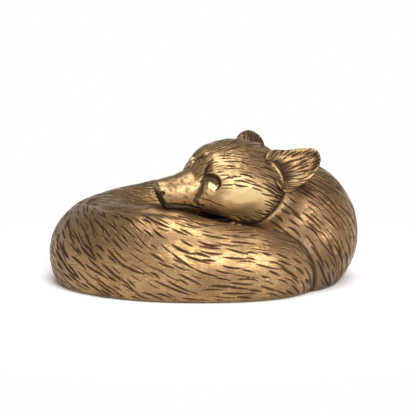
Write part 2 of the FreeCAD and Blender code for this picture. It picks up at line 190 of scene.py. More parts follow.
# The fold of skin along the foot of the near ear.
EAR_FOLD = (
    (30.4, -22.0, 63.7),
    (33.0, -21.1, 62.3),
    (35.2, -20.8, 60.3),
    (37.1, -20.8, 57.8),
    (38.0, -21.3, 55.0),
    (38.6, -23.2, 52.4),
    (38.6, -26.6, 50.7),
)
EAR_FOLD_RADIUS = 0.9
NEAR_EAR_ROOT = (35.0, -21.0, 58.5)
NEAR_EAR_LEAN = (0.883, 0.281, 0.381)
NEAR_EAR_FACE = (0.0, -0.95, 0.25)
FAR_EAR_ROOT = (19.0, -3.0, 61.4)
FAR_EAR_LEAN = (0.0, 0.88, 0.47)
FAR_EAR_FACE = (-0.30, -0.45, 0.84)

# The valley where the back's fur meets the brush's.
PARTING = (
    (-62.0, 7.0, 39.0),
    (-60.5, 4.0, 39.6),
    (-55.2, -8.6, 40.6),
    (-48.5, -21.6, 40.9),
    (-41.3, -29.5, 41.1),
    (-32.8, -35.4, 41.4),
    (-22.0, -38.9, 41.3),
    (-12.0, -40.0, 40.5),
)
PARTING_WIDTH = 2.4
PARTING_DEPTH = 1.2

# How steeply the fur slants down the flanks, in degrees, at angles round the curl.
TORSO_SLANT = ((-60, 84), (0, 80), (30, 66), (60, 40), (90, 22), (130, 14), (170, 30), (210, 48))
BRUSH_SLANT = (
    (170, 22),
    (190, 25),
    (215, 27),
    (240, 27),
    (262, 19),
    (285, 9),
    (302, 22),
    (318, 45),
    (335, 65),
)

# The chisel: how many starts are tried, how closely a stroke is traced, how wide its tips stay
# beside its middle, and how high the metal is raised beside it as a share of its depth.
STARTS_TRIED = 16000
START_CELL = 9.0
STROKE_SPACING = 0.4
TIP_WIDTH = 0.35
BURR = 0.32


def unit(vector):
    vector = np.asarray(vector, dtype=float)
    return vector / np.linalg.norm(vector)


BACK = np.array((math.cos(HEAD_TURN), math.sin(HEAD_TURN), 0.0))
LEVEL = np.array((-math.sin(HEAD_TURN), math.cos(HEAD_TURN), 0.0))
UP = np.array((0.0, 0.0, 1.0))
ACROSS = LEVEL * math.cos(HEAD_ROLL) + UP * math.sin(HEAD_ROLL)
CROWN = np.cross(BACK, ACROSS)

# Fields. Each takes x, y and z arrays and gives about the distance to a surface, less than zero
# inside.


def join(one, other, reach):
    """The nearer of two forms, with a fillet about as wide as reach."""
    share = np.clip(0.5 + 0.5 * (other - one) / reach, 0.0, 1.0)
    return other + (one - other) * share - reach * share * (1.0 - share)


def keep(one, other, reach):
    """What both forms hold, with the edge rounded."""
    return -join(-one, -other, reach)


def ease(value, low, high):
    """0 up to low, 1 from high on, and smooth between them."""
    share = np.clip((value - low) / (high - low), 0.0, 1.0)
    return share * share * (3.0 - 2.0 * share)


def egg(p, centre, radii):
    scaled = [(axis - middle) / radius for axis, middle, radius in zip(p, centre, radii)]
    shell = np.sqrt(sum(axis * axis for axis in scaled))
    slope = np.sqrt(sum((axis / radius) ** 2 for axis, radius in zip(scaled, radii)))
    return (shell - 1.0) * shell / (slope + 1e-6)


def rod(p, start, end, start_radius, end_radius):
    line = [b - a for a, b in zip(start, end)]
    length = sum(step * step for step in line)
    share = sum((axis - a) * step for axis, a, step in zip(p, start, line)) / length
    share = np.clip(share, 0.0, 1.0)
    square = sum((axis - a - share * step) ** 2 for axis, a, step in zip(p, start, line))
    return np.sqrt(square) - start_radius - share * (end_radius - start_radius)


def trail(p, points, radius=0.0):
    """A cord of one thickness through a row of points."""
    return np.minimum.reduce([rod(p, a, b, radius, radius) for a, b in zip(points, points[1:])])


def along(where, knots, values):
    """A smooth curve through values at knots."""
    knots = np.asarray(knots, dtype=float)
    values = np.asarray(values, dtype=float)
    slopes = np.gradient(values, knots)
    index = np.clip(np.searchsorted(knots, where) - 1, 0, len(knots) - 2)
    span = knots[index + 1] - knots[index]
    t = np.clip((where - knots[index]) / span, 0.0, 1.0)
    start, end = values[index], values[index + 1]
    pull, push = slopes[index] * span, slopes[index + 1] * span
    return (
        start * (1 + 2 * t) * (1 - t) ** 2
        + pull * t * (1 - t) ** 2
        + end * t * t * (3 - 2 * t)
        - push * t * t * (1 - t)
    )


class Arches:
    """Arches of ellipses that stand across the curl's oval, as the castings have them."""

    def __init__(self, stations, half_width, height):
        table = np.array(stations, dtype=float)
        self.angles = table[:, 0]
        self.insets = table[:, 1] * half_width
        self.widths = table[:, 2] * half_width
        self.tops = table[:, 3] * height
        self.seats = table[:, 4]
        self.middle = (self.angles[0] + self.angles[-1]) / 2

    def angle(self, x, y):
        turn = np.degrees(np.arctan2(y, x))
        return self.middle + (turn - self.middle + 180.0) % 360.0 - 180.0

    def section(self, x, y, z):
        """Angle, and the place in that section: offsets from its middle and its half sizes."""
        angle = self.angle(x, y)
        held = np.clip(angle, self.angles[0], self.angles[-1])
        turn = np.radians(held)
        plan = 1.0 / np.hypot(np.cos(turn) / CURL_HALF_LENGTH, np.sin(turn) / CURL_HALF_DEPTH)
        width = along(held, self.angles, self.widths)
        reach = plan - along(held, self.angles, self.insets) - width
        top = along(held, self.angles, self.tops)
        middle = along(held, self.angles, self.seats) * top
        return angle, held, np.hypot(x, y) - reach, z - middle, width, top - middle, reach

    def field(self, x, y, z):
        angle, _, out, up, width, rise, reach = self.section(x, y, z)
        shell = np.sqrt((out / width) ** 2 + (up / rise) ** 2)
        slope = np.sqrt((out / width ** 2) ** 2 + (up / rise ** 2) ** 2)
        past_end = np.maximum(angle - self.angles[-1], self.angles[0] - angle)
        return np.maximum((shell - 1.0) * shell / (slope + 1e-6), np.radians(past_end) * reach)

    def comb(self, x, y, z):
        """Millimetres along the curl and round its section."""
        _, held, out, up, width, rise, _ = self.section(x, y, z)
        girth = np.arctan2(up / rise, out / width) * (width + rise) / 2
        return np.radians(held) * CURL_HALF_LENGTH * 0.8, girth


torso_arches = Arches(TORSO_STATIONS, BODY_HALF_WIDTH, SHOULDER_HEIGHT)
brush_arches = Arches(BRUSH_STATIONS, BRUSH_HALF_WIDTH, BRUSH_HEIGHT)


def torso_form(p):
    ring = torso_arches.field(*p)
    belly = egg(p, (0.0, 0.0, BELLY_HEIGHT - BELLY_RADIUS), (BELLY_RADIUS,) * 3)
    neck = rod(p, NAPE, THROAT, NAPE_RADIUS, THROAT_RADIUS)
    return join(join(ring, belly, 5.0), neck, 8.0)


def brush_form(p):
    return brush_arches.field(*p)


def head_place(p):
    """Places as back from the nose, across towards the far cheek and up to the crown."""
    off = [axis - start for axis, start in zip(p, NOSE)]
    return [sum(a * b for a, b in zip(off, axis)) for axis in (BACK, ACROSS, CROWN)]


def tear_line(h):
    """The groove between muzzle and eye, from the brow down to the mouth."""
    return trail(h, TEAR_LINE)


def before_chin(back, crown):
    """How far a place lies before the slope from the nose down and back to the chin."""
    return CHIN_BACK + CHIN_SLOPE * (CHIN_TOP - crown) - back


def head_form(p):
    back, across, crown = head_place(p)
    side = np.abs(across)
    h = (back, side, crown)
    table = np.array(HEAD_SECTIONS)
    knots = table[:, 0] * HEAD_LENGTH
    held = np.clip(back, 0.0, HEAD_LENGTH)
    centre = along(held, knots, table[:, 1] * SKULL_HEIGHT)
    over = along(held, knots, table[:, 2] * SKULL_HEIGHT)
    under = along(held, knots, table[:, 3] * SKULL_HEIGHT)
    width = along(held, knots, table[:, 4] * HEAD_HALF_WIDTH)
    up = crown - centre
    rise = np.where(up > 0, over, under)
    shell = np.sqrt((side / width) ** 2 + (up / rise) ** 2)
    slope = np.sqrt((side / width ** 2) ** 2 + (up / rise ** 2) ** 2)
    past_end = np.maximum(-back, back - HEAD_LENGTH)
    skull = np.maximum((shell - 1.0) * shell / (slope + 1e-6), past_end)
    skull = join(skull, egg(h, RUFF_MIDDLE, RUFF_RADII), 4.0)
    far_side = across > 0.0
    brow = egg(h, BROW_MIDDLE, BROW_RADII) - np.where(far_side, FAR_BROW_FULLER, 0.0)
    skull = join(skull, brow, 2.5)
    skull = join(skull, rod(h, *BROW_RIDGE, *BROW_RIDGE_RADII), 1.8)
    skull = keep(skull, -egg(h, SOCKET_MIDDLE, SOCKET_RADII), 1.2)
    lid = egg(h, LID_MIDDLE, LID_RADII) + np.where(far_side, FAR_LID_FLATTER, 0.0)
    skull = join(skull, lid, 1.8)
    skull = keep(skull, before_chin(back, crown) / math.hypot(1.0, CHIN_SLOPE), 1.2)
    skull = join(skull, egg(h, NOSE_PAD_MIDDLE, NOSE_PAD_RADII), 1.6)
    skull = keep(skull, -egg(h, NOSTRIL_MIDDLE, NOSTRIL_RADII), 0.3)
    return keep(skull, -rod(h, LIP_FRONT, LIP_END, *LIP_RADII), 0.6)


def ear_fold(p):
    """The raised fold of skin on the skull along the foot of the near ear."""
    return trail(p, EAR_FOLD, EAR_FOLD_RADIUS)


def head_piece(p):
    return join(head_form(p), ear_fold(p), EAR_FOLD_RADIUS)


def slope_of(form, points, step=0.25):
    """Unit normals of a form at an array of points."""
    x, y, z = points.T
    parts = []
    for axis in range(3):
        low, high = [x, y, z], [x, y, z]
        low[axis] = low[axis] - step
        high[axis] = high[axis] + step
        parts.append(form(high) - form(low))
    normals = np.stack(parts, axis=1)
    return normals / (np.linalg.norm(normals, axis=1, keepdims=True) + 1e-9)


def surface(form, low, high, step):
    """Points and four-sided faces on the form's skin."""
    low, high = np.array(low, dtype=float), np.array(high, dtype=float)
    counts = np.ceil((high - low) / step).astype(int) + 1
    axes = [low[k] + step * np.arange(counts[k], dtype=np.float32) for k in range(3)]
    x = axes[0][:, None, None]
    y = axes[1][None, :, None]
    z = axes[2][None, None, :]
    values = np.ascontiguousarray(np.broadcast_to(form((x, y, z)), counts), dtype=np.float32)
    grid = openvdb.FloatGrid(10.0)
    grid.copyFromArray(values)
    points, quads = grid.convertToQuads(0.0)
    return low + np.asarray(points, dtype=float) * step, np.asarray(quads)


# Random but repeatable unevenness.


def cloud(points, size, seed):
    """Smooth lumps about size wide, from -1 to 1."""
    lattice = np.random.default_rng(seed).uniform(-1.0, 1.0, (48, 48, 48))
    place = points / size + 500.0
    cell = np.floor(place).astype(int)
    part = place - cell
    part = part * part * (3.0 - 2.0 * part)
    total = np.zeros(len(points))
    for corner in range(8):
        bits = np.array([(corner >> k) & 1 for k in range(3)])
        weight = np.prod(np.where(bits, part, 1.0 - part), axis=1)
        index = (cell + bits) % 48
        total += weight * lattice[index[:, 0], index[:, 1], index[:, 2]]
    return total


# Fur strokes: where each starts, the way that the hair lies, and how the chisel cuts.


def tangent(direction, normals):
    flat = direction - normals * np.sum(direction * normals, axis=1, keepdims=True)
    return flat / (np.linalg.norm(flat, axis=1, keepdims=True) + 1e-9)


def spread(points, flow, long_gap, wide_gap, rng):
    """Indices of points that keep apart, further along the hair than across it."""
    kept = []
    cells = {}

    def crowded(index, key):
        for dx, dy, dz in itertools.product((-1, 0, 1), repeat=3):
            for other in cells.get((key[0] + dx, key[1] + dy, key[2] + dz), ()):
                off = points[index] - points[other]
                forward = off @ flow[index]
                sideways = off @ off - forward * forward
                if (forward / long_gap[index]) ** 2 + sideways / wide_gap[index] ** 2 < 1.0:
                    return True
        return False

    for index in rng.permutation(len(points)):
        key = tuple((points[index] // START_CELL).astype(int))
        if not crowded(index, key):
            cells.setdefault(key, []).append(index)
            kept.append(index)
    return np.array(kept)


def comb_strokes(form, lay, starts, lengths, widths, depths, turns, bends):
    """Follows the hair from each start, each stroke turned and bent a little from the rest.

    Gives samples: place, heading, half width and depth.
    """
    steps = int(lengths.max() / STROKE_SPACING) + 1
    place = starts.copy()
    samples = []
    for step in range(steps):
        share = step * STROKE_SPACING / lengths
        going = share <= 1.0
        normals = slope_of(form, place)
        heading = tangent(lay(place, normals), normals)
        off = (turns + bends * (share - 0.5))[:, None]
        heading = heading * np.cos(off) + np.cross(normals, heading) * np.sin(off)
        swell = np.sin(np.pi * np.clip(share, 0.02, 0.98) ** 0.8) ** 0.75
        half_width = widths * (TIP_WIDTH + (1.0 - TIP_WIDTH) * swell)
        samples.append(np.column_stack([place, heading, half_width, depths * swell])[going])
        place = place + heading * STROKE_SPACING
        place = place - normals * form(place.T)[:, None]
    return np.concatenate(samples)


def cut_strokes(points, samples):
    """How deep the strokes cut at each point, and how much of a stroke's floor it is."""
    tree = KDTree(len(samples))
    for index, sample in enumerate(samples):
        tree.insert(sample[:3], index)
    tree.balance()
    nearest = np.array([tree.find(point)[1] for point in points])
    sample = samples[nearest]
    off = points - sample[:, :3]
    forward = np.sum(off * sample[:, 3:6], axis=1, keepdims=True)
    off = off - sample[:, 3:6] * np.clip(forward, -0.25, 0.25)
    away = np.linalg.norm(off, axis=1) / sample[:, 6]
    groove = np.clip(1.0 - away * away, 0.0, 1.0) ** 1.5
    lip = np.exp(-(((away - 1.5) / 0.4) ** 2))
    return sample[:, 7] * (groove - BURR * lip), ease(1.3 - away, 0.0, 0.6)


def curl_lay(arches, slant):
    """The way that the hair lies on the curl: along it, and down its flanks by the slant."""

    def lay(points, normals):
        x, y, z = points.T
        angle, _, out, up, width, rise, _ = arches.section(x, y, z)
        turn = np.arctan2(y, x)
        onward = np.column_stack([-np.sin(turn), np.cos(turn), np.zeros_like(turn)])
        outward = np.column_stack([np.cos(turn), np.sin(turn), np.zeros_like(turn)])
        down = tangent(outward - UP, normals)
        tilt = np.radians(slant(angle, up / rise, out / width))[:, None]
        return tangent(onward, normals) * np.cos(tilt) + down * np.sin(tilt)

    return lay


def torso_slant(angle, up, out):
    return along(angle, *zip(*TORSO_SLANT)) * ease(out, -0.7, 0.05)


def brush_slant(angle, up, out):
    ridge = 1.0 - 0.7 * ease(up, 0.6, 1.0)
    return along(angle, *zip(*BRUSH_SLANT)) * ridge * ease(out, -0.7, 0.05)


def parting(p):
    """How deep the valley is where the back's fur meets the brush's, from 0 to 1."""
    return np.exp(-((trail(p, PARTING) / PARTING_WIDTH) ** 2))


def shown(gap, height):
    """1 on the open surface, 0 where a casting sits in another or stands on its rim."""
    return ease(gap, -0.3, 0.5) * ease(height, RIM + 0.1, RIM + 1.5)


def sink(valley, near_head, height):
    """Straight down into the valley, so that torso and brush stay flush at their joint."""
    return np.outer(PARTING_DEPTH * valley * shown(near_head, height), UP)


def body_lumps(points):
    """The broad unevenness of a body that was modelled by hand."""
    return cloud(points, 9.0, 3) * 0.22 + cloud(points, 4.0, 4) * 0.1


def darkest(*washes_and_shades):
    return np.maximum.reduce(washes_and_shades)


# Painted shade, with wash: darker the nearer another casting or the valley lies.
def crease_wash_and_shade(gap, shade, reach, valley):
    """Wash and painted shade in a crease and in the valley, with a softer painted shade that
    reaches further out.
    """
    return darkest(np.exp(-gap / 1.8), shade * np.exp(-gap / reach), 0.4 * valley)


def haunch_shade_and_wash(p):
    """Painted shade on the haunch, and wash left standing in broad clouds all over."""
    # Painted shade: the haunch darker towards the left end and up its flank.
    haunch = 0.45 * ease(-p[0], 40.0, 66.0) * ease(p[2], 8.0, 26.0)
    return darkest(haunch, 0.5 * ease(cloud(p.T, 14.0, 12), 0.1, 1.3))


def swept(lay, onward):
    """The lay, but straight along X on top of the back, behind the parting."""
    ends = np.array(PARTING)

    def swept_lay(points, normals):
        x, y, z = points.T
        line = along(x, ends[:, 0], ends[:, 1])
        behind, high = ease(y - line, -0.5, 4.0), ease(z, 32.0, 37.0)
        away_from_head, level = ease(-x, 2.0, 22.0), ease(normals[:, 2], 0.3, 0.7)
        share = (behind * high * away_from_head * level)[:, None]
        across_back = tangent(np.array((onward, 0.0, 0.0)), normals)
        return tangent(lay(points, normals) * (1.0 - share) + across_back * share, normals)

    return swept_lay


torso_lay = swept(curl_lay(torso_arches, torso_slant), -1.0)
brush_lay = swept(curl_lay(brush_arches, brush_slant), 1.0)


def head_lay(points, normals):
    back, across, _ = head_place(points.T)
    sag = ease(back, 28.0, 50.0)[:, None] * 0.45
    spread_out = (np.sign(across) * ease(back, 20.0, 45.0) * 0.25)[:, None]
    return tangent(BACK - CROWN * sag + ACROSS * spread_out, normals)


# Meshes from points.


def make_piece(name, points, quads, **layers):
    """A mesh object in metres. Each layer becomes a value at every point."""
    mesh = bpy.data.meshes.new(name)
    mesh.vertices.add(len(points))
    mesh.vertices.foreach_set("co", (points * MM).astype(np.float32).ravel())
    mesh.loops.add(quads.size)
    mesh.loops.foreach_set("vertex_index", quads.astype(np.int32).ravel())
    mesh.polygons.add(len(quads))
    mesh.polygons.foreach_set("loop_start", np.arange(0, quads.size, 4, dtype=np.int32))
    mesh.update(calc_edges=True)
    mesh.polygons.foreach_set("use_smooth", np.ones(len(quads), dtype=bool))
    for layer, values in layers.items():
        if values.ndim == 1:
            attribute = mesh.attributes.new(layer, "FLOAT", "POINT")
            attribute.data.foreach_set("value", values.astype(np.float32))
        else:
            attribute = mesh.attributes.new(layer, "FLOAT_VECTOR", "POINT")
            attribute.data.foreach_set("vector", values.astype(np.float32).ravel())
    mesh.validate()
    piece = bpy.data.objects.new(name, mesh)
    bpy.context.scene.collection.objects.link(piece)
    return piece


def chase(points, normals, open_air, lay, form, seed, long_gap, wide_gap, length, width, depth):
    """Strokes over the open part of a casting. A size is one number or one for each point."""
    rng = np.random.default_rng(seed)
    reachable = np.flatnonzero(open_air)
    reachable = rng.choice(reachable, min(len(reachable), STARTS_TRIED), replace=False)
    sizes = (long_gap, wide_gap, length, width, depth)
    long_gap, wide_gap, length, width, depth = (
        np.broadcast_to(size, len(points)) for size in sizes
    )
    flow = lay(points[reachable], normals[reachable])
    kept = reachable[
        spread(points[reachable], flow, long_gap[reachable], wide_gap[reachable], rng)
    ]
    count = len(kept)
    return comb_strokes(
        form,
        lay,
        points[kept],
        length[kept] * rng.uniform(0.45, 1.4, count),
        width[kept] * rng.uniform(0.6, 1.35, count),
        depth[kept] * rng.uniform(0.6, 1.2, count),
        rng.normal(0.0, 0.09, count),
        rng.normal(0.0, 0.28, count),
    )


# Ears in their own frame: along to the tip, across, and towards the cup's open side.


class Ear:
    def __init__(self, root, lean, face):
        self.root = np.array(root)
        self.lean = unit(lean)
        face = np.array(face)
        self.face = unit(face - self.lean * (face @ self.lean))
        self.wide = np.cross(self.face, self.lean)
        self.axes = np.array((self.lean, self.wide, self.face))
        outline = np.array(EAR_OUTLINE) * (EAR_LENGTH, EAR_HALF_WIDTH)
        closed = np.vstack([outline[-2:], outline, outline[:2]])
        knots = np.arange(-2, len(outline) + 2)
        where = np.linspace(0, len(outline), 90, endpoint=False)
        self.outline = np.column_stack([along(where, knots, closed[:, k]) for k in (0, 1)])
        self.cup = (
            0.45 * EAR_LENGTH,
            0.0,
            math.sqrt(EAR_CUP_RADIUS ** 2 - EAR_HALF_WIDTH ** 2),
        )

    def leaf(self, along_ear, across_ear):
        """Distance to the outline in the ear's plane, less than zero inside."""
        shape = np.broadcast(along_ear, across_ear).shape
        u, v = (np.broadcast_to(a, shape).ravel() for a in (along_ear, across_ear))
        nearest = np.full(u.shape, 1e9)
        inside = np.zeros(u.shape, dtype=bool)
        for (ax, ay), (bx, by) in zip(self.outline, np.roll(self.outline, -1, axis=0)):
            ex, ey = bx - ax, by - ay
            t = np.clip(((u - ax) * ex + (v - ay) * ey) / (ex * ex + ey * ey), 0.0, 1.0)
            nearest = np.minimum(nearest, (u - ax - t * ex) ** 2 + (v - ay - t * ey) ** 2)
            crosses = (ay > v) != (by > v)
            inside ^= crosses & (u < ax + (v - ay) * ex / (ey if ey else 1e-9))
        return (np.where(inside, -1.0, 1.0) * np.sqrt(nearest)).reshape(shape)

    def own_form(self, p):
        u, v, w = p
        away = np.sqrt(sum((axis - centre) ** 2 for axis, centre in zip(p, self.cup)))
        middle = away - EAR_CUP_RADIUS - EAR_THICKNESS / 2
        leaf = self.leaf(u, v)
        shell = keep(np.abs(middle) - EAR_THICKNESS / 2, leaf, 1.2)
        rim = np.hypot(leaf + EAR_RIM_INSET, middle + EAR_RIM_LIFT) - EAR_RIM_RADIUS
        return join(np.maximum(shell, w - self.cup[2]), np.maximum(rim, w - self.cup[2]), 0.8)

    def to_world(self, points):
        return self.root + points @ self.axes

    def form(self, p):
        off = [axis - start for axis, start in zip(p, self.root)]
        local = [sum(a * b for a, b in zip(off, axis)) for axis in self.axes]
        return self.own_form(local)


near_ear = Ear(NEAR_EAR_ROOT, NEAR_EAR_LEAN, NEAR_EAR_FACE)
far_ear = Ear(FAR_EAR_ROOT, FAR_EAR_LEAN, FAR_EAR_FACE)


def make_ear(name, ear, node, seed, grooved):
    low = (-0.35 * EAR_LENGTH, -1.2 * EAR_HALF_WIDTH, -EAR_THICKNESS - 6.0)
    high = (1.12 * EAR_LENGTH, 1.1 * EAR_HALF_WIDTH, 14.0)
    own, quads = surface(ear.own_form, low, high, EAR_STEP)
    normals = slope_of(ear.own_form, own)
    leaf = ear.leaf(own[:, 0], own[:, 1])
    inner = (normals[:, 2] > 0.3) & (leaf < -1.6)
    outer = (normals[:, 2] < -0.3) & (leaf < -1.2)

    def lay(points, surface_normals):
        to_tip, sideways = np.eye(3)[:2]
        fan = points[:, 1:2] / EAR_HALF_WIDTH * 0.35
        return tangent(to_tip + fan * sideways, surface_normals)

    samples = [
        chase(
            own, normals, side, lay, ear.own_form, seed,
            long_gap=6.5, wide_gap=gap, length=length, width=0.5,
            depth=depth if grooved else 0.4 * depth,
        )
        for side, gap, length, depth in ((inner, 1.35, 9.0, 0.42), (outer, 2.2, 6.0, 0.22))
    ]
    depth, stroke = cut_strokes(own, np.concatenate(samples))
    own = own - normals * depth[:, None] + normals * (cloud(own, 5.0, seed) * 0.15)[:, None]
    cup_shade = ease(-leaf, 1.5, 7.0) * (normals[:, 2] > 0.2) * ease(own[:, 0], 20.0, 0.0)
    piece = make_piece(
        name,
        ear.to_world(own),
        quads,
        stroke=stroke * (1.0 if grooved else 0.35),
        # Painted shade: in the near ear's cup towards its root, and an even 0.35 over all of the
        # far ear.
        crevice=np.clip(cup_shade, 0.0, 1.0) if grooved else np.full(len(own), 0.35),
        comb=own,
    )
    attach(piece, "root")
    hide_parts(node)
    return piece


# The castings.


def brush_from_joint(p):
    """The brush, cut off where the haunch begins."""
    to_joint = np.radians(HAUNCH_JOINT - brush_arches.angle(p[0], p[1]))
    return np.maximum(brush_form(p), to_joint * JOINT_RADIUS - JOINT_LAP)


def torso_piece(p):
    x, y, z = p
    angle = torso_arches.angle(x, y)
    body = torso_form(p)
    past_joint = np.radians(angle - HAUNCH_JOINT) * JOINT_RADIUS - JOINT_LAP
    body = np.maximum(body, np.where(angle > 130, past_joint, -1.0))
    body = np.maximum(body, -brush_from_joint(p) - SEAT_CLEARANCE)
    body = np.maximum(body, -head_form(p) - SEAT_CLEARANCE)
    return np.maximum(body, RIM - z)


def brush_piece(p):
    body = np.maximum(brush_from_joint(p), -head_form(p) - SEAT_CLEARANCE)
    return np.maximum(body, RIM - p[2])


def make_torso():
    points, quads = surface(torso_piece, (-79, -59, -0.6), (79, 59, 62), TORSO_STEP)
    normals = slope_of(torso_piece, points)
    p = points.T
    brush, head = brush_from_joint(p), head_form(p)
    near, far = near_ear.form(p), far_ear.form(p)
    others = np.minimum.reduce((brush, head, near, far))
    angle = torso_arches.angle(p[0], p[1])
    shoulder = 1.0 - ease(angle, 40.0, 90.0)
    samples = chase(
        points, normals, (others > 0.3) & (p[2] > RIM + 1.0), torso_lay, torso_form, FIRST_SEED,
        long_gap=7.5 + 2.5 * shoulder,
        wide_gap=1.7 + 0.5 * shoulder,
        length=8.0 + 3.0 * shoulder,
        width=0.46 + 0.08 * shoulder,
        depth=0.45,
    )
    depth, stroke = cut_strokes(points, samples)
    seat = shown(others, p[2])
    valley = parting(p)
    relief = (body_lumps(points) - depth) * seat
    moved = points + normals * relief[:, None] - sink(valley, head, p[2])
    by_joint = 1.0 - ease(np.abs(angle - HAUNCH_JOINT), 5.0, 14.0)
    gap = np.clip(np.minimum.reduce((brush + FAR_OFF * by_joint, head, near)), 0, 50)
    # Brown wash and painted shade on the chest, beside the head.
    chest = ease(19.0 - gap + 6.0 * cloud(points, 2.8, 11), 0.0, 8.0)
    chest = chest * ease(-p[1], 0.0, 14.0) * ease(p[0], 20.0, 36.0)
    run, girth = torso_arches.comb(*p)
    piece = make_piece(
        "torso_casting",
        moved,
        quads,
        stroke=stroke * seat,
        # Wash and painted shade: in the creases and the valley, on the chest beside the head and on
        # the haunch, with wash in broad clouds.
        crevice=darkest(crease_wash_and_shade(gap, 0.6, 8.0, valley), 0.62 * chest, haunch_shade_and_wash(p)),
        comb=np.column_stack([run, girth, np.zeros_like(run)]),
    )
    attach(piece, "root")
    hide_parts("torso")
    return piece


def make_brush():
    points, quads = surface(brush_piece, (-79, -59, -0.6), (62, 4, 46), BRUSH_STEP)
    normals = slope_of(brush_piece, points)
    p = points.T
    head, torso = head_form(p), torso_form(p)
    open_air = (head > 0.3) & (p[2] > RIM + 1.0) & (torso > -2.0)
    samples = chase(
        points, normals, open_air, brush_lay, brush_form, FIRST_SEED + 1,
        long_gap=9.0,
        wide_gap=2.2,
        length=9.5,
        width=0.6,
        depth=0.52,
    )
    depth, stroke = cut_strokes(points, samples)
    seat = shown(head, p[2])
    valley = parting(p)
    relief = (body_lumps(points) - depth) * seat
    moved = points + normals * relief[:, None] - sink(valley, head, p[2])
    by_joint = 1.0 - ease(brush_arches.angle(p[0], p[1]), HAUNCH_JOINT + 5.0, HAUNCH_JOINT + 20.0)
    gap = np.clip(np.minimum(torso + FAR_OFF * by_joint, head), 0, 50)
    run, girth = brush_arches.comb(*p)
    piece = make_piece(
        "brush_casting",
        moved,
        quads,
        stroke=stroke * seat,
        # Wash and painted shade in the creases, the valley and on the haunch, with wash in broad
        # clouds.
        crevice=darkest(crease_wash_and_shade(gap, 0.55, 5.0, valley), haunch_shade_and_wash(p)),
        comb=np.column_stack([run, girth, np.zeros_like(run)]),
    )
    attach(piece, "root")
    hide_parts("brush")
    return piece


def make_head():
    low = (NOSE[0] - 6.0, -51.0, 25.0)
    high = (52.0, 20.0, 76.0)
    points, quads = surface(head_piece, low, high, HEAD_STEP)
    normals = slope_of(head_piece, points)
    p = points.T
    back, across, crown = head_place(p)
    others = np.minimum.reduce((brush_form(p), torso_form(p), near_ear.form(p), far_ear.form(p)))
    h = (back, np.abs(across), crown)
    eye = egg(h, LID_MIDDLE, LID_RADII)
    bare = (back <= 20.0) | (eye <= 2.5) | (egg(h, *SMOOTH_CHEEK) <= 0.0)
    furred = ease(back, 24.0, 36.0)
    samples = chase(
        points, normals, (others > 0.2) & ~bare, head_lay, head_form, FIRST_SEED + 2,
        long_gap=5.5 + 3.0 * furred,
        wide_gap=1.5 - 0.2 * furred,
        length=5.0 + 4.0 * furred,
        width=0.34 + 0.16 * furred,
        depth=0.22 + 0.2 * furred,
    )
    depth, stroke = cut_strokes(points, samples)
    lid = ease(1.2 - eye, 0.0, 1.2)
    pits = cloud(points, 1.1, 9)
    groove = np.exp(-((tear_line(h) / 1.9) ** 2)) * (1.0 - lid)
    lumps = cloud(points, 6.0, 5) * 0.2 + cloud(points, 2.5, 6) * 0.08
    relief = lumps + pits * lid * 0.28 - 0.9 * groove - depth
    moved = points + normals * relief[:, None]

    # Where the wash stands and shade is painted: wash and painted shade in the creases, painted
    # shadow in the socket under the brow, painted shade on the end face of the nose, and wash in
    # the mouth, nostril, tear line and ragged spots.
    ragged = cloud(points, 1.4, 8) * 1.3
    # Wash and painted shade where the head meets the other castings.
    crease = np.exp(-np.clip(others, 0, 50) / 1.5)
    mouth = ease(2.0 - rod(h, LIP_FRONT, LIP_END, 0.0, 0.0), 0.0, 0.9)
    # Painted shadow in the socket under the brow.
    socket = ease(-egg(h, SOCKET_MIDDLE, SOCKET_RADII), -0.9, 0.4) * ease(eye, 0.0, 0.7)
    nostril = ease(-egg(h, NOSTRIL_MIDDLE, NOSTRIL_WASH_RADII), -0.2, 0.4)
    corner = ease(1.9 + ragged - trail(h, MOUTH_CORNER), 0.0, 1.4)
    temple = ease(1.0 + ragged - trail(h, TEMPLE), 0.0, 1.0)
    # Painted shade on the end face of the nose.
    front = ease(1.1 + before_chin(back, crown), 0.0, 0.9) * ease(-crown, -4.5, 0.0)
    fold = ease(0.9 - np.abs(ear_fold(p) - 0.7), 0.0, 0.7)
    tear = ease(groove + 0.12 * ragged, 0.25, 0.85)
    specks = lid * ease(-pits, 0.1, 0.9)
    stipple = ease(24.0 - back, 0.0, 7.0) * (0.3 + 0.35 * ease(cloud(points, 1.3, 10), -0.2, 0.6))
    dark = darkest(
        crease, mouth, socket, nostril, 0.9 * corner, 0.9 * temple, 0.8 * front,
        0.45 * fold, 0.85 * tear, 0.7 * specks, stipple,
    )
    # Painted highlight and worn gold on the cheek, and more lightly on the lid.
    rubbed = np.maximum(ease(3.0 - egg(h, *CHEEK_SHEEN_AND_WEAR), 0.0, 6.0), 0.45 * lid)
    piece = make_piece(
        "head_casting",
        moved,
        quads,
        stroke=stroke,
        crevice=dark,
        rub=rubbed,
        comb=np.column_stack([back, across * 1.2 + crown, np.zeros_like(back)]),
    )
    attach(piece, "root")
    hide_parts("head")
    return piece


# Finishes.

GOLD = (0.46, 0.30, 0.12, 1)
GOLD_FLECK = (0.66, 0.47, 0.24, 1)
SHEEN_AND_WORN_GOLD = (0.74, 0.53, 0.26, 1)
WASH = (0.046, 0.021, 0.011, 1)
POOLED_WASH_AND_SHADE = (0.018, 0.011, 0.008, 1)


def add(nodes, kind, **settings):
    node = nodes.new(kind)
    for name, value in settings.items():
        setattr(node, name, value)
    return node


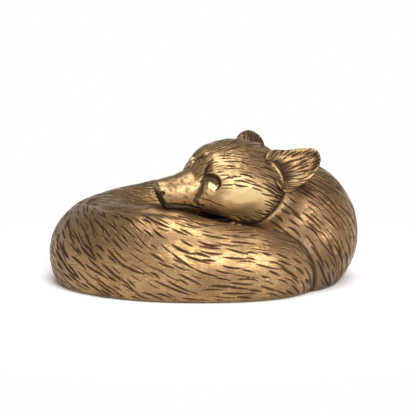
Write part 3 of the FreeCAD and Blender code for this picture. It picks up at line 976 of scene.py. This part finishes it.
def patina_group():
    """Gold worn back over a brown wash, with painted shade and painted highlight laid in from the
    chased surface's layers: colour, roughness and fine relief.
    """
    group = bpy.data.node_groups.new("rubbed_gold", "ShaderNodeTree")
    face = group.interface
    for name, kind, default in (
        ("Gold", "NodeSocketColor", GOLD),
        ("Wash", "NodeSocketColor", WASH),
        ("Wash amount", "NodeSocketFloat", 0.5),
        ("Stroke", "NodeSocketFloat", 0.0),
        ("Wash and shade", "NodeSocketFloat", 0.0),
        ("Sheen and wear", "NodeSocketFloat", 0.0),
        ("Comb", "NodeSocketVector", (0, 0, 0)),
    ):
        socket = face.new_socket(name=name, in_out="INPUT", socket_type=kind)
        socket.default_value = default
    for name, kind in (
        ("Color", "NodeSocketColor"),
        ("Roughness", "NodeSocketFloat"),
        ("Height", "NodeSocketFloat"),
    ):
        face.new_socket(name=name, in_out="OUTPUT", socket_type=kind)
    nodes, links = group.nodes, group.links
    entry = add(nodes, "NodeGroupInput")
    leave = add(nodes, "NodeGroupOutput")
    place = add(nodes, "ShaderNodeTexCoord")

    def maths(operation, first, second, clamp=False):
        node = add(nodes, "ShaderNodeMath", operation=operation, use_clamp=clamp)
        for index, value in enumerate((first, second)):
            if isinstance(value, (int, float)):
                node.inputs[index].default_value = value
            else:
                links.new(value, node.inputs[index])
        return node.outputs[0]

    def noise(vector, scale, detail, rough=0.6):
        node = add(nodes, "ShaderNodeTexNoise")
        node.inputs["Scale"].default_value = scale
        node.inputs["Detail"].default_value = detail
        node.inputs["Roughness"].default_value = rough
        links.new(vector, node.inputs["Vector"])
        return node.outputs["Fac"]

    def window(value, low, high):
        node = add(nodes, "ShaderNodeMapRange", interpolation_type="SMOOTHSTEP")
        node.inputs["From Min"].default_value = low
        node.inputs["From Max"].default_value = high
        links.new(value, node.inputs["Value"])
        return node.outputs["Result"]

    def mix(share, first, second):
        node = add(nodes, "ShaderNodeMix", data_type="RGBA")
        links.new(share, node.inputs["Factor"])
        for index, value in ((6, first), (7, second)):
            if isinstance(value, tuple):
                node.inputs[index].default_value = value
            else:
                links.new(value, node.inputs[index])
        return node.outputs[2]

    streak_place = add(nodes, "ShaderNodeVectorMath", operation="MULTIPLY")
    streak_place.inputs[1].default_value = (0.12, 1.6, 1.0)
    links.new(entry.outputs["Comb"], streak_place.inputs[0])
    hair = noise(streak_place.outputs[0], 1.0, 4.0, 0.65)
    blotch = noise(place.outputs["Object"], 55.0, 4.0, 0.6)
    grain = noise(place.outputs["Object"], 700.0, 3.0, 0.7)
    speck = noise(place.outputs["Object"], 1500.0, 2.0, 0.6)
    soft = maths("MULTIPLY", window(blotch, 0.38, 0.68), entry.outputs["Wash amount"])
    thin = maths("MULTIPLY", window(hair, 0.46, 0.66), 0.8)
    wash_veil_and_shade = maths("MAXIMUM", soft, thin)
    wash_veil_and_shade = maths("MAXIMUM", wash_veil_and_shade, maths("MULTIPLY", window(grain, 0.52, 0.68), 0.42))
    # Wash and painted shade from that layer darken the gold here too.
    wash_veil_and_shade = maths("MAXIMUM", wash_veil_and_shade, maths("MULTIPLY", entry.outputs["Wash and shade"], 0.9))
    bright = mix(window(speck, 0.55, 0.75), entry.outputs["Gold"], GOLD_FLECK)
    # Painted highlight and worn gold where that layer is set; the wash is thinned there too.
    bright = mix(maths("MULTIPLY", entry.outputs["Sheen and wear"], 0.8), bright, SHEEN_AND_WORN_GOLD)
    wash_left_under_sheen = maths("SUBTRACT", 0.72, maths("MULTIPLY", entry.outputs["Sheen and wear"], 0.42))
    gold = mix(maths("MULTIPLY", wash_veil_and_shade, wash_left_under_sheen), bright, entry.outputs["Wash"])
    # Darkest wash and painted shade where that layer is strongest.
    pooled_wash_and_shade = maths("MULTIPLY", window(entry.outputs["Wash and shade"], 0.35, 0.95), 0.85)
    gold = mix(pooled_wash_and_shade, gold, POOLED_WASH_AND_SHADE)
    floor = maths("MULTIPLY", entry.outputs["Stroke"], 0.95)
    links.new(mix(floor, gold, entry.outputs["Wash"]), leave.inputs["Color"])
    rough = maths("ADD", maths("MULTIPLY", wash_veil_and_shade, 0.26), 0.29)
    rough = maths("ADD", rough, maths("MULTIPLY", entry.outputs["Stroke"], 0.25), clamp=True)
    links.new(rough, leave.inputs["Roughness"])
    height = maths("ADD", maths("MULTIPLY", hair, 0.6), maths("MULTIPLY", grain, 0.4))
    links.new(height, leave.inputs["Height"])
    return group


def patina(name, group, gold, wash_amount):
    material = bpy.data.materials.new(name)
    material.use_nodes = True
    nodes, links = material.node_tree.nodes, material.node_tree.links
    shader = nodes["Principled BSDF"]
    rubbed = add(nodes, "ShaderNodeGroup")
    rubbed.node_tree = group
    rubbed.inputs["Gold"].default_value = gold
    rubbed.inputs["Wash amount"].default_value = wash_amount
    for layer, socket, output in (
        ("stroke", "Stroke", "Fac"),
        ("crevice", "Wash and shade", "Fac"),
        ("rub", "Sheen and wear", "Fac"),
        ("comb", "Comb", "Vector"),
    ):
        attribute = add(nodes, "ShaderNodeAttribute", attribute_name=layer)
        links.new(attribute.outputs[output], rubbed.inputs[socket])
    bump = add(nodes, "ShaderNodeBump")
    bump.inputs["Strength"].default_value = 0.35
    bump.inputs["Distance"].default_value = 0.0004
    links.new(rubbed.outputs["Height"], bump.inputs["Height"])
    links.new(bump.outputs["Normal"], shader.inputs["Normal"])
    links.new(rubbed.outputs["Color"], shader.inputs["Base Color"])
    links.new(rubbed.outputs["Roughness"], shader.inputs["Roughness"])
    shader.inputs["Metallic"].default_value = 0.85
    return material


def grain_group():
    """Two tones in soft blotches under a finer grain, which also roughens and lifts the surface."""
    group = bpy.data.node_groups.new("soft_grain", "ShaderNodeTree")
    for name, kind in (
        ("Dark", "NodeSocketColor"),
        ("Light", "NodeSocketColor"),
        ("Blotch scale", "NodeSocketFloat"),
        ("Grain scale", "NodeSocketFloat"),
        ("Smoothest", "NodeSocketFloat"),
        ("Roughest", "NodeSocketFloat"),
    ):
        group.interface.new_socket(name=name, in_out="INPUT", socket_type=kind)
    for name, kind in (
        ("Color", "NodeSocketColor"),
        ("Roughness", "NodeSocketFloat"),
        ("Height", "NodeSocketFloat"),
    ):
        group.interface.new_socket(name=name, in_out="OUTPUT", socket_type=kind)
    nodes, links = group.nodes, group.links
    entry = add(nodes, "NodeGroupInput")
    leave = add(nodes, "NodeGroupOutput")
    place = add(nodes, "ShaderNodeTexCoord")
    blotch = add(nodes, "ShaderNodeTexNoise")
    grain = add(nodes, "ShaderNodeTexNoise")
    for node, scale, detail in ((blotch, "Blotch scale", 5.0), (grain, "Grain scale", 3.0)):
        node.inputs["Detail"].default_value = detail
        links.new(entry.outputs[scale], node.inputs["Scale"])
        links.new(place.outputs["Object"], node.inputs["Vector"])
    tone = add(nodes, "ShaderNodeMix", data_type="RGBA")
    links.new(blotch.outputs["Fac"], tone.inputs["Factor"])
    links.new(entry.outputs["Dark"], tone.inputs[6])
    links.new(entry.outputs["Light"], tone.inputs[7])
    links.new(tone.outputs[2], leave.inputs["Color"])
    wear = add(nodes, "ShaderNodeMapRange")
    links.new(grain.outputs["Fac"], wear.inputs["Value"])
    links.new(entry.outputs["Smoothest"], wear.inputs["To Min"])
    links.new(entry.outputs["Roughest"], wear.inputs["To Max"])
    links.new(wear.outputs["Result"], leave.inputs["Roughness"])
    links.new(grain.outputs["Fac"], leave.inputs["Height"])
    return group


def grained_material(name, group, dark, light, metallic, roughness, scale, relief):
    material = bpy.data.materials.new(name)
    material.use_nodes = True
    nodes, links = material.node_tree.nodes, material.node_tree.links
    shader = nodes["Principled BSDF"]
    shader.inputs["Metallic"].default_value = metallic
    grained = add(nodes, "ShaderNodeGroup")
    grained.node_tree = group
    for socket, value in (
        ("Dark", dark),
        ("Light", light),
        ("Blotch scale", scale * 0.08),
        ("Grain scale", scale),
        ("Smoothest", roughness - 0.1),
        ("Roughest", roughness + 0.1),
    ):
        grained.inputs[socket].default_value = value
    bump = add(nodes, "ShaderNodeBump")
    bump.inputs["Strength"].default_value = 0.4
    bump.inputs["Distance"].default_value = relief
    links.new(grained.outputs["Height"], bump.inputs["Height"])
    links.new(bump.outputs["Normal"], shader.inputs["Normal"])
    links.new(grained.outputs["Color"], shader.inputs["Base Color"])
    links.new(grained.outputs["Roughness"], shader.inputs["Roughness"])
    return material


def dress(node, material):
    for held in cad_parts[node].material_slots:
        held.material = material


# Camera, floor and light.


def look_at(item, target):
    direction = np.array(target) - np.array(item.location)
    pitch = math.atan2(math.hypot(direction[0], direction[1]), -direction[2])
    item.rotation_euler = (pitch, 0.0, math.atan2(direction[1], direction[0]) - math.pi / 2)


CAMERA_DISTANCE = 0.9
CAMERA_RISE = math.radians(10.0)
VIEW_WIDTH = 0.208
SENSOR_WIDTH = 36.0
VIEW_MIDDLE = (0.00225, 0.0, 0.0366)
BACKDROP = (1.0, 1.0, 1.0, 1)
PAPER = (0.9, 0.9, 0.9, 1)
FLOOR_HALF = 3.0
FADE_START = 0.09
FADE_END = 0.20
ZENITH = 0.12
LAMP_AIM = (0.0, 0.0, 0.03)
LAMPS = (
    ("window", (0.16, -0.78, 0.46), (0.70, 0.40), 9.2),
    ("fill", (0.65, -0.60, 0.30), (0.35, 0.35), 2.4),
    ("overhead", (0.0, -0.1, 0.9), (0.6, 0.5), 6.5),
)


def make_camera():
    data = bpy.data.cameras.new("camera")
    data.sensor_width = SENSOR_WIDTH
    data.lens = SENSOR_WIDTH * CAMERA_DISTANCE / VIEW_WIDTH
    data.clip_start = 0.01
    camera = bpy.data.objects.new("camera", data)
    camera.location = (
        VIEW_MIDDLE[0],
        VIEW_MIDDLE[1] - CAMERA_DISTANCE * math.cos(CAMERA_RISE),
        VIEW_MIDDLE[2] + CAMERA_DISTANCE * math.sin(CAMERA_RISE),
    )
    look_at(camera, VIEW_MIDDLE)
    bpy.context.scene.collection.objects.link(camera)
    bpy.context.scene.camera = camera


def make_lamp(name, place, size, power):
    data = bpy.data.lights.new(name, "AREA")
    data.shape = "RECTANGLE"
    data.size, data.size_y = size
    data.energy = power
    lamp = bpy.data.objects.new(name, data)
    lamp.location = place
    look_at(lamp, LAMP_AIM)
    bpy.context.scene.collection.objects.link(lamp)


def seen_by_eye(nodes, links):
    """1 where the camera sees the backdrop, straight, mirrored in metal or through glass."""
    path = add(nodes, "ShaderNodeLightPath")
    mirrored = add(nodes, "ShaderNodeMath", operation="MAXIMUM")
    links.new(path.outputs["Is Glossy Ray"], mirrored.inputs[0])
    links.new(path.outputs["Is Transmission Ray"], mirrored.inputs[1])
    seen = add(nodes, "ShaderNodeMath", operation="MAXIMUM")
    links.new(path.outputs["Is Camera Ray"], seen.inputs[0])
    links.new(mirrored.outputs[0], seen.inputs[1])
    return seen.outputs[0]


def make_world():
    """A studio that grows dimmer from the horizon up: once for its light, once for the eye."""
    world = bpy.data.worlds.new("studio")
    world.use_nodes = True
    bpy.context.scene.world = world
    nodes, links = world.node_tree.nodes, world.node_tree.links
    nodes.clear()
    out = add(nodes, "ShaderNodeOutputWorld")
    place = add(nodes, "ShaderNodeTexCoord")
    parts = add(nodes, "ShaderNodeSeparateXYZ")
    links.new(place.outputs["Generated"], parts.inputs[0])
    mixer = add(nodes, "ShaderNodeMixShader")
    links.new(seen_by_eye(nodes, links), mixer.inputs[0])
    for slot, low, high, at_horizon in ((1, 0.1, 0.9, 0.62), (2, 0.04, 0.7, 1.0)):
        rising = add(nodes, "ShaderNodeMapRange", interpolation_type="SMOOTHSTEP")
        rising.inputs["From Min"].default_value = low
        rising.inputs["From Max"].default_value = high
        rising.inputs["To Min"].default_value = at_horizon
        rising.inputs["To Max"].default_value = ZENITH
        links.new(parts.outputs["Z"], rising.inputs["Value"])
        studio = add(nodes, "ShaderNodeBackground")
        studio.inputs["Color"].default_value = BACKDROP
        links.new(rising.outputs["Result"], studio.inputs["Strength"])
        links.new(studio.outputs[0], mixer.inputs[slot])
    links.new(mixer.outputs[0], out.inputs["Surface"])


def floor_material():
    """Matt paper round the object, which holds its shadow, fading into the backdrop's own tone."""
    material = bpy.data.materials.new("studio_floor")
    material.use_nodes = True
    nodes, links = material.node_tree.nodes, material.node_tree.links
    nodes.clear()
    paper = add(nodes, "ShaderNodeBsdfDiffuse")
    paper.inputs["Color"].default_value = PAPER
    backdrop = add(nodes, "ShaderNodeEmission")
    backdrop.inputs["Color"].default_value = BACKDROP
    place = add(nodes, "ShaderNodeTexCoord")
    reach = add(nodes, "ShaderNodeVectorMath", operation="LENGTH")
    links.new(place.outputs["Object"], reach.inputs[0])
    fade = add(nodes, "ShaderNodeMapRange", interpolation_type="SMOOTHSTEP")
    fade.inputs["From Min"].default_value = FADE_START
    fade.inputs["From Max"].default_value = FADE_END
    links.new(reach.outputs["Value"], fade.inputs["Value"])
    share = add(nodes, "ShaderNodeMath", operation="MULTIPLY")
    links.new(fade.outputs["Result"], share.inputs[0])
    links.new(seen_by_eye(nodes, links), share.inputs[1])
    mixer = add(nodes, "ShaderNodeMixShader")
    links.new(share.outputs[0], mixer.inputs[0])
    links.new(paper.outputs[0], mixer.inputs[1])
    links.new(backdrop.outputs[0], mixer.inputs[2])
    out = add(nodes, "ShaderNodeOutputMaterial")
    links.new(mixer.outputs[0], out.inputs["Surface"])
    return material


def make_floor():
    mesh = bpy.data.meshes.new("studio_floor")
    half = FLOOR_HALF
    corners = [(-half, -half, 0), (half, -half, 0), (half, half, 0), (-half, half, 0)]
    mesh.from_pydata(corners, [], [(0, 1, 2, 3)])
    floor = bpy.data.objects.new("studio_floor", mesh)
    bpy.context.scene.collection.objects.link(floor)
    floor.data.materials.append(floor_material())


make_camera()
make_world()
make_floor()
for lamp in LAMPS:
    make_lamp(*lamp)

rubbed_gold = patina_group()
body_patina = patina("body_patina", rubbed_gold, gold=(0.34, 0.205, 0.088, 1), wash_amount=0.75)
head_patina = patina("head_patina", rubbed_gold, gold=(0.38, 0.24, 0.108, 1), wash_amount=0.6)
ear_patina = patina("ear_patina", rubbed_gold, gold=(0.31, 0.19, 0.085, 1), wash_amount=0.6)
# A darker copy of the patina, painted shade for the far ear.
shaded_patina = patina("shaded_patina", rubbed_gold, gold=(0.15, 0.09, 0.045, 1), wash_amount=0.8)

soft_grain = grain_group()
turned_brass = grained_material(
    "turned_brass",
    soft_grain,
    dark=(0.42, 0.28, 0.12, 1),
    light=(0.62, 0.45, 0.21, 1),
    metallic=1.0,
    roughness=0.36,
    scale=900.0,
    relief=0.00008,
)
pressed_felt = grained_material(
    "pressed_felt",
    soft_grain,
    dark=(0.035, 0.032, 0.030, 1),
    light=(0.10, 0.09, 0.085, 1),
    metallic=0.0,
    roughness=0.88,
    scale=2600.0,
    relief=0.0003,
)
for brass_node in ("base_plate", "base_screws", "brush_pins", "head_screw"):
    dress(brass_node, turned_brass)
dress("felt_pads", pressed_felt)

make_torso().data.materials.append(body_patina)
make_brush().data.materials.append(body_patina)
make_head().data.materials.append(head_patina)
near_casting = make_ear("near_ear_casting", near_ear, "near_ear", FIRST_SEED + 3, grooved=True)
near_casting.data.materials.append(ear_patina)
# The far ear wears the shaded patina: painted shade.
far_casting = make_ear("far_ear_casting", far_ear, "far_ear", FIRST_SEED + 4, grooved=False)
far_casting.data.materials.append(shaded_patina)

bpy.context.scene.view_settings.view_transform = "Standard"
